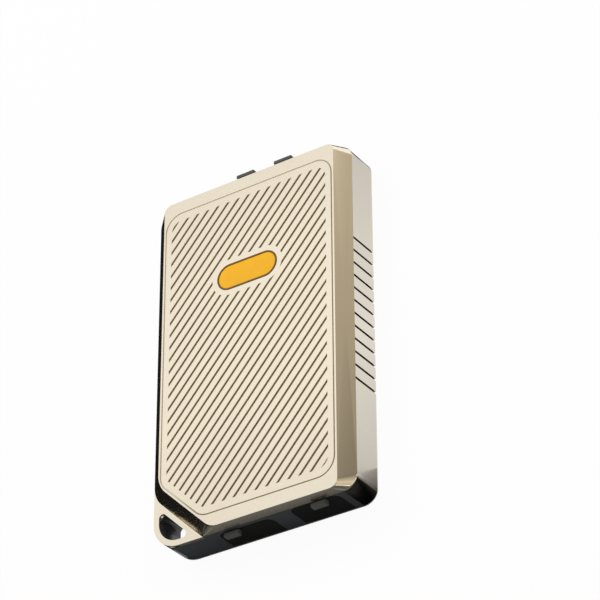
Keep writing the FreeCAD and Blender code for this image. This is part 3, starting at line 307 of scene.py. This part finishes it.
def rubber(name, tint, lit_tab):
    """Moulded silicone rubber: matt and pitted, with painted light making it paler where it stands
    out past the case.
    """
    n = Finish(name)
    pits = n.noise(3800.0, detail=3.0, roughness=0.7)
    wear = n.noise(160.0, detail=4.0)
    case_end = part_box("side_frame")[1].y + 0.2 * MM
    lit_past_case = n.math("GREATER_THAN", n.math("ABSOLUTE", n.along("Y")), case_end)
    wear = n.spread(wear, 0.0, 1.0)
    # Painted light: past the case ends the rubber takes the paler lit tab colour.
    n.set(n.shader, "Base Color", n.mix(lit_past_case, n.mix(wear, rgba(tint, 0.85), rgba(tint, 1.1)),
                                        n.mix(wear, rgba(lit_tab, 0.85), rgba(lit_tab, 1.1))))
    n.set(n.shader, "Roughness", n.spread(pits, 0.5, 0.66))
    n.set(n.shader, "Specular IOR Level", 0.12)
    n.set(n.shader, "Normal", n.bump(pits, 0.2, GRAIN))
    return n.material


def enamel(name, tint):
    """Poured enamel: even colour with a faint cloud under a clear coat."""
    n = Finish(name)
    cloud = n.noise(220.0, detail=3.0)
    n.set(n.shader, "Base Color", n.mix(n.spread(cloud, 0.0, 1.0), rgba(tint, 0.95), rgba(tint)))
    n.set(n.shader, "Roughness", 0.3)
    n.set(n.shader, "Specular IOR Level", 0.25)
    n.set(n.shader, "Coat Weight", 0.06)
    n.set(n.shader, "Coat Roughness", 0.12)
    n.set(n.shader, "Normal", n.bump(n.noise(700.0), 0.05, GRAIN))
    return n.material


def ceramic(name, tint):
    """Polished zirconia."""
    n = Finish(name)
    cloud = n.noise(500.0)
    n.set(n.shader, "Base Color", n.mix(n.spread(cloud, 0.0, 1.0), rgba(tint, 0.94), rgba(tint)))
    n.set(n.shader, "Roughness", n.spread(cloud, 0.12, 0.2))
    n.set(n.shader, "Subsurface Weight", 0.1)
    n.set(n.shader, "Subsurface Scale", 0.5 * MM)
    return n.material


def clear_moulding(name):
    """Clear light pipe with faint scatter."""
    n = Finish(name)
    cloud = n.noise(900.0)
    n.set(n.shader, "Base Color", n.mix(n.spread(cloud, 0.0, 1.0), (0.86, 0.89, 0.9, 1.0),
                                        (0.95, 0.96, 0.96, 1.0)))
    n.set(n.shader, "Transmission Weight", 0.55)
    n.set(n.shader, "IOR", 1.49)
    n.set(n.shader, "Roughness", n.spread(cloud, 0.12, 0.2))
    return n.material


def board_laminate(name):
    """Green solder mask over copper traces: two bands of fine lines and clouded resin."""
    n = Finish(name)
    mapping = n.add("ShaderNodeMapping", Vector=n.place, Scale=(1.0, 1.0, 0.0))
    cells = n.add("ShaderNodeTexVoronoi", {"distance": "CHEBYCHEV"},
                  Vector=mapping.outputs["Vector"], Scale=420.0)
    traces = n.spread(cells.outputs["Distance"], 0.0, 1.0, 0.42, 0.5)
    n.set(n.shader, "Base Color", n.mix(traces, (0.004, 0.075, 0.028, 1.0),
                                        (0.012, 0.16, 0.06, 1.0)))
    n.set(n.shader, "Roughness", n.spread(n.noise(1200.0), 0.28, 0.42))
    n.set(n.shader, "Normal", n.bump(traces, 0.3, 0.03 * MM))
    return n.material


def foil(name):
    """Laminated aluminium pouch with soft creases."""
    n = Finish(name)
    creases = n.noise(180.0, detail=5.0, roughness=0.65)
    n.set(n.shader, "Base Color", n.mix(n.spread(creases, 0.0, 1.0), (0.5, 0.51, 0.53, 1.0),
                                        (0.66, 0.67, 0.69, 1.0)))
    n.set(n.shader, "Metallic", 1.0)
    n.set(n.shader, "Roughness", n.spread(creases, 0.3, 0.45))
    n.set(n.shader, "Normal", n.bump(creases, 0.3, 0.1 * MM))
    return n.material


def foam(name):
    """Closed-cell foam."""
    n = Finish(name)
    cells = n.add("ShaderNodeTexVoronoi", Vector=n.place, Scale=2200.0)
    pores = n.spread(cells.outputs["Distance"], 0.0, 1.0, 0.1, 0.6)
    n.set(n.shader, "Base Color", n.mix(pores, (0.02, 0.02, 0.022, 1.0), (0.05, 0.05, 0.052, 1.0)))
    n.set(n.shader, "Roughness", 0.9)
    n.set(n.shader, "Normal", n.bump(pores, 0.4, 0.08 * MM))
    return n.material


# ---------------------------------------------------------------- meshes

def new_piece(name, material, body, vertices, faces, smooth=True):
    """A mesh object with its place in its mesh, riding on a body."""
    mesh = bpy.data.meshes.new(name)
    mesh.from_pydata(vertices.reshape(-1, 3).tolist(), [], faces)
    mesh.update()
    mesh.polygons.foreach_set("use_smooth", np.full(len(mesh.polygons), smooth))
    piece = bpy.data.objects.new(name, mesh)
    bpy.context.scene.collection.objects.link(piece)
    mesh.materials.append(material)
    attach(piece, body)
    return piece


def ring_faces(rings, around, base=0):
    """Quads between closed rings of points, with the first and last ring filled by one face.

    Corner k of ring r has the number base + r * around + k.
    """
    ring, step = np.meshgrid(np.arange(rings - 1), np.arange(around), indexing="ij")
    turn = (step + 1) % around
    quads = np.stack((ring * around + step, ring * around + turn, (ring + 1) * around + turn,
                      (ring + 1) * around + step), axis=-1).reshape(-1, 4) + base
    faces = quads.tolist()
    faces.append((np.arange(around)[::-1] + base).tolist())
    faces.append((np.arange(around) + (rings - 1) * around + base).tolist())
    return faces


def stadium(half_width, half_height, count):
    """Points at even steps round a rectangle with fully round ends.

    The distance run s goes round two straights of length 2 (a - b) and two half circles of
    radius b; each point is its straight's end plus b times the direction of its half circle.
    """
    straight = 2.0 * (half_width - half_height)
    arc = math.pi * half_height
    run = np.linspace(0.0, 2.0 * (straight + arc), count, endpoint=False)
    lap = run % (straight + arc)
    far = run >= straight + arc
    turn = np.clip((lap - straight) / half_height, 0.0, math.pi)
    x = straight / 2.0 - np.minimum(lap, straight) - half_height * np.sin(turn)
    y = half_height * np.cos(turn)
    side = np.where(far, -1.0, 1.0)
    return np.stack((x * side, y * side), axis=-1)


def soften(node, width):
    """Breaks the sharp edges of a solid: doubles merged, then edges rounded."""
    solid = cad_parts[node]
    weld = solid.modifiers.new("merge", "WELD")
    weld.merge_threshold = 0.001 * MM
    bevel = solid.modifiers.new("broken_edge", "BEVEL")
    bevel.width = width
    bevel.segments = 2
    bevel.limit_method = "ANGLE"
    bevel.angle_limit = math.radians(28.0)
    bevel.use_clamp_overlap = True
    bevel.harden_normals = True
    bevel.miter_outer = "MITER_ARC"
    return solid


def dress(material, slot, *nodes):
    """Gives CAD nodes a material; the slot argument is not used."""
    for name in nodes:
        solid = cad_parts[name]
        solid.data.materials.clear()
        solid.data.materials.append(material)


def settings():
    scene = bpy.context.scene
    return scene.reflectometer_finish, scene.reflectometer_sizes, scene.reflectometer_stage


# ---------------------------------------------------------------- operators

class OBJECT_OT_case_metal(bpy.types.Operator):
    """Finish the front cover, side frame, back plate and case screws"""
    bl_idname = "object.reflectometer_case_metal"
    bl_label = "Case metal"

    def execute(self, context):
        finish, sizes, _ = settings()
        dress(satin_metal("champagne_satin", finish.champagne, 0.24, shaded=finish.groove_shade),
              "champagne_cover", "front_cover")
        dress(satin_metal("silver_anodised", finish.silver, 0.3, slotted=finish.slot),
              "silver_frame", "side_frame")
        dress(satin_metal("plate_blasted", finish.plate, 0.42, grain=3400.0, grain_strength=0.3),
              "silver_plate", "back_plate")
        dress(brushed_metal("screw_steel", (0.16, 0.16, 0.165), 0.34), "screw_steel",
              "case_screws")
        for name in ("front_cover", "side_frame", "back_plate"):
            soften(name, sizes.edge)
        soften("case_screws", sizes.edge / 3)
        return {"FINISHED"}


class OBJECT_OT_badge(bpy.types.Operator):
    """Build the crowned enamel badge and its dark rim"""
    bl_idname = "object.reflectometer_badge"
    bl_label = "Badge"

    def execute(self, context):
        finish, sizes, _ = settings()
        low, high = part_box("badge_plate")
        self.plate(enamel("amber_enamel", finish.badge), low, high, sizes.badge_crown)
        dress(enamel("rim_enamel", finish.badge_rim), "dark_badge_rim", "badge_rim")
        return {"FINISHED"}

    def plate(self, material, low, high, crown):
        """A round-ended plate whose height over its edge is crown (1 - r^2), r running 0 to 1."""
        around = 96
        chamfer = 0.06 * MM
        a, b = (high.x - low.x) / 2, (high.y - low.y) / 2
        middle = np.array(((low.x + high.x) / 2, (low.y + high.y) / 2))
        share = np.linspace(1.0, 0.04, 14)
        rings = []
        for inset, level in ((0.0, low.z), (0.0, high.z - crown - chamfer)):
            flat = stadium(a - inset, b - inset, around) + middle
            rings.append(np.column_stack((flat, np.full(around, level))))
        for part in share:
            inset = b * (1.0 - part) + chamfer
            flat = stadium(a - inset, b - inset, around) + middle
            rings.append(np.column_stack((flat, np.full(around, high.z - crown * part ** 2))))
        faces = ring_faces(len(rings), around)
        piece = new_piece("badge_enamel", material, "case", np.array(rings), faces)
        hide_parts("badge_plate")


class OBJECT_OT_end_panels(bpy.types.Operator):
    """Finish the two moulded end panels"""
    bl_idname = "object.reflectometer_end_panels"
    bl_label = "End panels"

    def execute(self, context):
        finish, sizes, _ = settings()
        dress(moulding("panel_satin", finish.panel, 0.36), "black_panel", "top_panel",
              "bottom_panel")
        for name in ("top_panel", "bottom_panel"):
            soften(name, sizes.edge)
        return {"FINISHED"}


class OBJECT_OT_dust_covers(bpy.types.Operator):
    """Finish the hinged dust covers and their pins"""
    bl_idname = "object.reflectometer_dust_covers"
    bl_label = "Dust covers"

    def execute(self, context):
        finish, sizes, _ = settings()
        covers = ("trace_port_cover", "meter_port_cover", "charge_port_cover",
                  "source_port_cover")
        dress(rubber("cover_rubber", finish.rubber, finish.lit_tab), "black_rubber", *covers)
        for name in covers:
            soften(name, sizes.moulded_edge)
        dress(brushed_metal("pin_steel", (0.5, 0.5, 0.51), 0.25), "pin_steel",
              "top_hinge_pins", "bottom_hinge_pins")
        return {"FINISHED"}


class OBJECT_OT_controls(bpy.types.Operator):
    """Finish the power button, its switch, the light pipes and lamps"""
    bl_idname = "object.reflectometer_controls"
    bl_label = "Button and lights"

    def execute(self, context):
        finish, sizes, _ = settings()
        dress(moulding("button_satin", finish.button, 0.42), "button_grey", "power_button")
        soften("power_button", sizes.moulded_edge)
        dress(clear_moulding("clear_pipe"), "clear_pipe", "light_pipes")
        dress(ceramic("lamp_body", (0.8, 0.79, 0.7)), "lamp_white", "status_lamps")
        dress(moulding("switch_body", (0.02, 0.02, 0.021), 0.5), "switch_black",
              "power_switch")
        return {"FINISHED"}


class OBJECT_OT_fibre_ports(bpy.types.Operator):
    """Finish the optical adapters, sleeves and ferrule stubs"""
    bl_idname = "object.reflectometer_fibre_ports"
    bl_label = "Fibre ports"

    def execute(self, context):
        dress(moulding("adapter_green", (0.02, 0.2, 0.06), 0.4), "green_adapter",
              "trace_adapter")
        dress(moulding("adapter_blue", (0.02, 0.09, 0.32), 0.4), "blue_adapter",
              "meter_adapter")
        dress(brushed_metal("nickel", (0.62, 0.6, 0.56), 0.2), "nickel_brass",
              "source_adapter")
        dress(ceramic("zirconia", (0.82, 0.82, 0.8)), "white_ceramic", "trace_sleeve",
              "meter_sleeve", "source_sleeve", "trace_stub", "meter_stub", "source_stub")
        return {"FINISHED"}


class OBJECT_OT_charge_socket(bpy.types.Operator):
    """Finish the charging socket and build its contacts"""
    bl_idname = "object.reflectometer_charge_socket"
    bl_label = "Charging socket"

    def execute(self, context):
        _, sizes, _ = settings()
        dress(brushed_metal("socket_tin", (0.6, 0.6, 0.61), 0.28), "socket_steel", "usb_shell")
        dress(moulding("socket_black", (0.02, 0.02, 0.021), 0.45), "switch_black", "usb_tongue")
        self.contacts(brushed_metal("contact_gold", (0.72, 0.5, 0.18), 0.22), sizes.contact)
        return {"FINISHED"}

    def contacts(self, material, width):
        """Two rows of strips on the tongue; each strip's section is a low arch across its width."""
        low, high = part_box("usb_tongue")
        count, sections = 12, 5
        pitch, depth, half_blade = 0.5 * MM, 0.05 * MM, 0.35 * MM
        middle = (low.z + high.z) / 2
        front, back = low.y + 0.3 * MM, low.y + 3.8 * MM
        across = np.linspace(-0.5, 0.5, sections)
        arch = depth * (1.0 - (2.0 * across) ** 4)
        vertices, faces = [], []
        for side in (-1.0, 1.0):
            for index in range(count):
                x = (low.x + high.x) / 2 + (index - (count - 1) / 2) * pitch
                top = np.column_stack((x + across * width, np.zeros(sections),
                                       middle + side * (half_blade + arch)))
                base = np.column_stack((x + across[::-1] * width, np.zeros(sections),
                                        np.full(sections, middle + side * (half_blade - depth))))
                loop = np.vstack((top, base))[::-int(side)]
                rings = np.repeat(loop[None], 2, axis=0)
                rings[0, :, 1] = front
                rings[1, :, 1] = back
                faces += ring_faces(2, len(loop), base=len(vertices) * 2 * len(loop))
                vertices.append(rings)
        new_piece("socket_contacts", material, "case",
                  np.concatenate([part.reshape(-1, 3) for part in vertices]), faces, smooth=False)


class OBJECT_OT_inside(bpy.types.Operator):
    """Finish the board, battery and optics, and wind the fibre reserve"""
    bl_idname = "object.reflectometer_inside"
    bl_label = "Inside"

    def execute(self, context):
        _, sizes, _ = settings()
        dress(board_laminate("solder_mask"), "green_board", "main_board")
        dress(foil("pouch_foil"), "battery_foil", "battery")
        dress(foam("pad_foam"), "grey_foam", "battery_pad")
        dress(satin_metal("module_metal", (0.5, 0.5, 0.51), 0.38), "engine_metal",
              "optical_engine", "trace_coupler")
        dress(brushed_metal("can_gold", (0.72, 0.52, 0.2), 0.24), "gold_can", "source_laser",
              "laser_can", "receiver_can", "meter_detector")
        dress(moulding("tray_white", (0.7, 0.7, 0.68), 0.5), "white_tray", "fibre_tray")
        dress(moulding("package_black", (0.02, 0.02, 0.021), 0.55), "chip_black", "processor",
              "power_inductors")
        dress(brushed_metal("shield_tin", (0.58, 0.58, 0.59), 0.32), "socket_steel",
              "shield_can", "radio_module")
        self.windings(enamel("fibre_yellow", (0.75, 0.5, 0.03)), sizes)
        return {"FINISHED"}

    def windings(self, material, sizes):
        """One tube wound in layers.

        At angle t the winding's height swings up and down as a triangle wave, one swing to a
        layer, and its radius grows evenly; a circle of the fibre's radius is carried along.
        """
        low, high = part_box("fibre_coil")
        radius, depth = sizes.fibre / 2, 3.4 * MM
        layers, steps, corners = 7, 56, 6
        centre = (Vector(low) + Vector(high)) / 2
        outer = (high.x - low.x) / 2 - radius
        inner = outer - depth
        span = (high.z - low.z) / 2 - radius
        turns = sizes.fibre_turns * layers
        t = np.linspace(0.0, turns, turns * steps + 1)
        swing = np.abs((t / sizes.fibre_turns) % 2.0 - 1.0) * 2.0 - 1.0
        out = inner + (outer - inner) * t / turns
        angle = 2.0 * math.pi * t
        outward = np.column_stack((np.cos(angle), np.sin(angle), np.zeros(len(t))))
        path = outward * out[:, None] + np.array(centre)
        path[:, 2] += swing * span
        around = np.linspace(0.0, 2.0 * math.pi, corners, endpoint=False)
        rings = (path[:, None] + radius * (np.cos(around)[None, :, None] * outward[:, None]
                 - np.sin(around)[None, :, None] * np.array((0.0, 0.0, 1.0))))
        piece = new_piece("fibre_windings", material, "case", rings,
                          ring_faces(len(t), corners))
        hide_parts("fibre_coil")


class SCENE_OT_stage(bpy.types.Operator):
    """Lay the pale floor, hang the softboxes and set the camera"""
    bl_idname = "scene.reflectometer_stage"
    bl_label = "Studio"

    def execute(self, context):
        _, _, stage = settings()
        context.scene.view_settings.view_transform = "Standard"
        self.floor()
        self.world(stage.world)
        self.floor_cards()
        self.standing_cards()
        self.softbox("key_softbox", (-0.62, 0.66, 0.92), 0.95, stage.key)
        self.softbox("right_softbox", (1.0, 0.5, 0.65), 0.7, stage.fill)
        self.camera(stage.lens)
        return {"FINISHED"}

    def floor(self):
        """A flat sheet a tenth of a millimetre under the back, clear when seen from below."""
        reach, level = 6.0, -0.1 * MM
        glowing_share = 0.95
        corner = (-reach, -reach, level)
        n = Finish("pale_floor")
        n.set(n.shader, "Base Color", (0.9, 0.9, 0.9, 1.0))
        n.set(n.shader, "Roughness", 0.9)
        glow = n.add("ShaderNodeEmission", Color=WHITE, Strength=1.0)
        pale = n.blend(self.seen(n, glowing_share), n.shader, glow)
        below = n.add("ShaderNodeNewGeometry").outputs["Backfacing"]
        n.finish("Material", n.blend(below, pale, n.add("ShaderNodeBsdfTransparent")))
        self.sheet("floor", n, corner, (2 * reach, 0.0, 0.0), (0.0, 2 * reach, 0.0))

    def seen(self, n, share):
        """The share, where a ray comes from the camera, a reflection or through clear stuff."""
        path = n.add("ShaderNodeLightPath")
        seen = path.outputs["Is Camera Ray"]
        for name in ("Is Glossy Ray", "Is Transmission Ray"):
            seen = n.math("MAXIMUM", seen, path.outputs[name])
        return n.math("MULTIPLY", seen, share)

    def world(self, strength):
        """White to the camera and to reflections, and an even light of this strength."""
        world = bpy.data.worlds.new("studio_air")
        bpy.context.scene.world = world
        world.use_nodes = True
        world.cycles.sampling_method = "NONE"
        n = Nodes(world.node_tree)
        even = n.tree.nodes["Background"]
        n.set(even, "Color", WHITE)
        n.set(even, "Strength", strength)
        white = n.add("ShaderNodeBackground", Color=WHITE, Strength=1.0)
        n.finish("World", n.blend(self.seen(n, 1.0), even, white))

    def floor_cards(self):
        """Cards that lie just over the floor round the case.

        Dark ones on the left, at the far end and at the near end darken the bevels and the
        panels there. The strips from the near end's corner up the right side go from black to
        white and back to grey, and the silver side shows them.
        """
        low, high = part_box("side_frame")
        reach, gap = 0.35, 3.0 * MM
        left, near, far = low.x - gap, low.y + 1.0 * MM, high.y + gap
        beyond_left, beyond_right = left - reach, high.x + reach
        strip, edge = near - 0.02, near - 0.006
        corner_end, middle, right_end = near + 0.011, near + 0.064, near + 0.144
        under_corner = high.x - 0.012
        strips = (
            ("left_card", (0.01, 0.01), (beyond_left, left), (near, far + reach)),
            ("far_card", (0.01, 0.01), (left, high.x), (far, far + reach)),
            ("near_card", (0.03, 0.12), (beyond_left, beyond_right), (near - reach, strip)),
            ("near_strip", (0.3, 0.02), (beyond_left, beyond_right), (strip, edge)),
            ("near_edge", (0.02, 0.002), (beyond_left, beyond_right), (edge, near)),
            ("corner_card", (0.002, 0.4), (under_corner, under_corner + reach),
             (near, corner_end)),
            ("right_near_card", (0.75, 1.0), (high.x, beyond_right), (corner_end, middle)),
            ("right_far_card", (1.0, 0.75), (high.x, beyond_right), (middle, right_end)),
        )
        for name, strengths, (x, x_end), (y, y_end) in strips:
            self.card(name, strengths, (x, y, 0.4 * MM), (x_end - x, 0.0, 0.0),
                      (0.0, y_end - y, 0.0))

    def standing_cards(self):
        """Cards that stand or hang round the case.

        A dark one stands on the left and one at the near end. Warm grey ones lean back on the
        right and brighten towards the near corner, and two overhead make the front face fall
        off towards both ends.
        """
        low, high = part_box("side_frame")
        left, start, end = low.x - 0.353, low.y - 0.349, high.y + 0.353
        warm = (1.0, 0.9, 0.74, 1.0)
        self.card("left_wall", (0.01, 0.01), (left, start, 0.4 * MM), (0.0, 0.0, 0.24),
                  (0.0, end - start, 0.0))
        self.card("near_wall", (0.05, 0.3), (-0.75, -0.6, 0.0), (0.0, 0.0, 0.3),
                  (1.1, -0.1, 0.0), warm)
        for name, strengths, y, y_end in (("right_near_wall", (0.1, 0.72), -0.8, -0.25),
                                          ("right_middle_wall", (0.72, 0.2), -0.25, 0.1),
                                          ("right_wall", (0.2, 0.64), 0.1, 0.5)):
            self.card(name, strengths, (0.35, y, 0.06), (0.25, 0.0, 0.9),
                      (0.0, y_end - y, 0.0), warm)
        for name, strengths, y in (("overhead_near", (0.5, 1.14), 0.14),
                                   ("overhead_far", (1.14, 0.4), 0.44)):
            self.card(name, strengths, (-1.0, y, 0.6), (1.2, 0.0, 0.0), (0.0, 0.3, 0.0))

    def card(self, name, strengths, corner, first, second, tint=WHITE):
        """A card that only reflections see.

        Its strength runs from one value to the other along Y.
        """
        n = Finish(name)
        strength = n.spread(n.along("Y"), *strengths, corner[1], corner[1] + second[1])
        n.finish("Material", n.add("ShaderNodeEmission", Color=tint, Strength=strength))
        card = self.sheet(name, n, corner, first, second)
        card.visible_camera = False
        card.visible_shadow = False
        card.visible_diffuse = False

    def sheet(self, name, n, corner, first, second):
        """A flat stage piece: every point is the corner plus shares of its two sides."""
        corner, first, second = map(np.array, (corner, first, second))
        points = (corner, corner + first, corner + first + second, corner + second)
        n.material.cycles.emission_sampling = "NONE"
        mesh = bpy.data.meshes.new(name)
        mesh.from_pydata([point.tolist() for point in points], [], [(0, 1, 2, 3)])
        mesh.materials.append(n.material)
        sheet = bpy.data.objects.new(name, mesh)
        bpy.context.scene.collection.objects.link(sheet)
        return sheet

    def softbox(self, name, place, size, power):
        """A square lamp that faces the case and isn't seen in reflections."""
        data = bpy.data.lights.new(name, "AREA")
        data.shape = "SQUARE"
        data.size = size
        data.energy = power
        lamp = bpy.data.objects.new(name, data)
        bpy.context.scene.collection.objects.link(lamp)
        lamp.location = place
        lamp.visible_glossy = False
        away = Vector(place) - Vector((0.0, 0.0, 10.0 * MM))
        lamp.rotation_euler = away.to_track_quat("Z", "Y").to_euler()

    def camera(self, lens):
        """A long lens from the near right, above the case; its axes are unit directions."""
        data = bpy.data.cameras.new("camera")
        data.lens = lens
        data.sensor_width = 36.0
        data.clip_start = 0.01
        camera = bpy.data.objects.new("camera", data)
        bpy.context.scene.collection.objects.link(camera)
        right = Vector((0.8288, -0.0044, -0.5596))
        up = Vector((0.3009, 0.8466, 0.4390))
        turn = Matrix((right, up, right.cross(up))).transposed().to_4x4()
        place = Vector((0.4637, -0.4916, 0.6757))
        camera.matrix_world = Matrix.Translation(place) @ turn
        bpy.context.scene.camera = camera


class VIEW3D_PT_reflectometer(bpy.types.Panel):
    """Sidebar panel with the settings and the steps in order"""
    bl_label = "Reflectometer"
    bl_idname = "VIEW3D_PT_reflectometer"
    bl_space_type = "VIEW_3D"
    bl_region_type = "UI"
    bl_category = "Reflectometer"

    def draw(self, context):
        for group in settings():
            column = self.layout.column(align=True)
            for name in group.__annotations__:
                column.prop(group, name)
        for step in STEPS:
            self.layout.operator(step.bl_idname)


GROUPS = {
    "reflectometer_finish": ReflectometerFinish,
    "reflectometer_sizes": ReflectometerSizes,
    "reflectometer_stage": ReflectometerStage,
}
STEPS = (
    OBJECT_OT_case_metal, OBJECT_OT_badge, OBJECT_OT_end_panels, OBJECT_OT_dust_covers,
    OBJECT_OT_controls, OBJECT_OT_fibre_ports, OBJECT_OT_charge_socket, OBJECT_OT_inside,
    SCENE_OT_stage,
)


def register():
    for item in (*GROUPS.values(), *STEPS, VIEW3D_PT_reflectometer):
        bpy.utils.register_class(item)
    for name, group in GROUPS.items():
        setattr(bpy.types.Scene, name, PointerProperty(type=group))


def unregister():
    for name in GROUPS:
        delattr(bpy.types.Scene, name)
    for item in reversed((*GROUPS.values(), *STEPS, VIEW3D_PT_reflectometer)):
        bpy.utils.unregister_class(item)


def main():
    register()
    for step in STEPS:
        family, name = step.bl_idname.split(".")
        getattr(getattr(bpy.ops, family), name)()


if __name__ == "__main__":
    main()
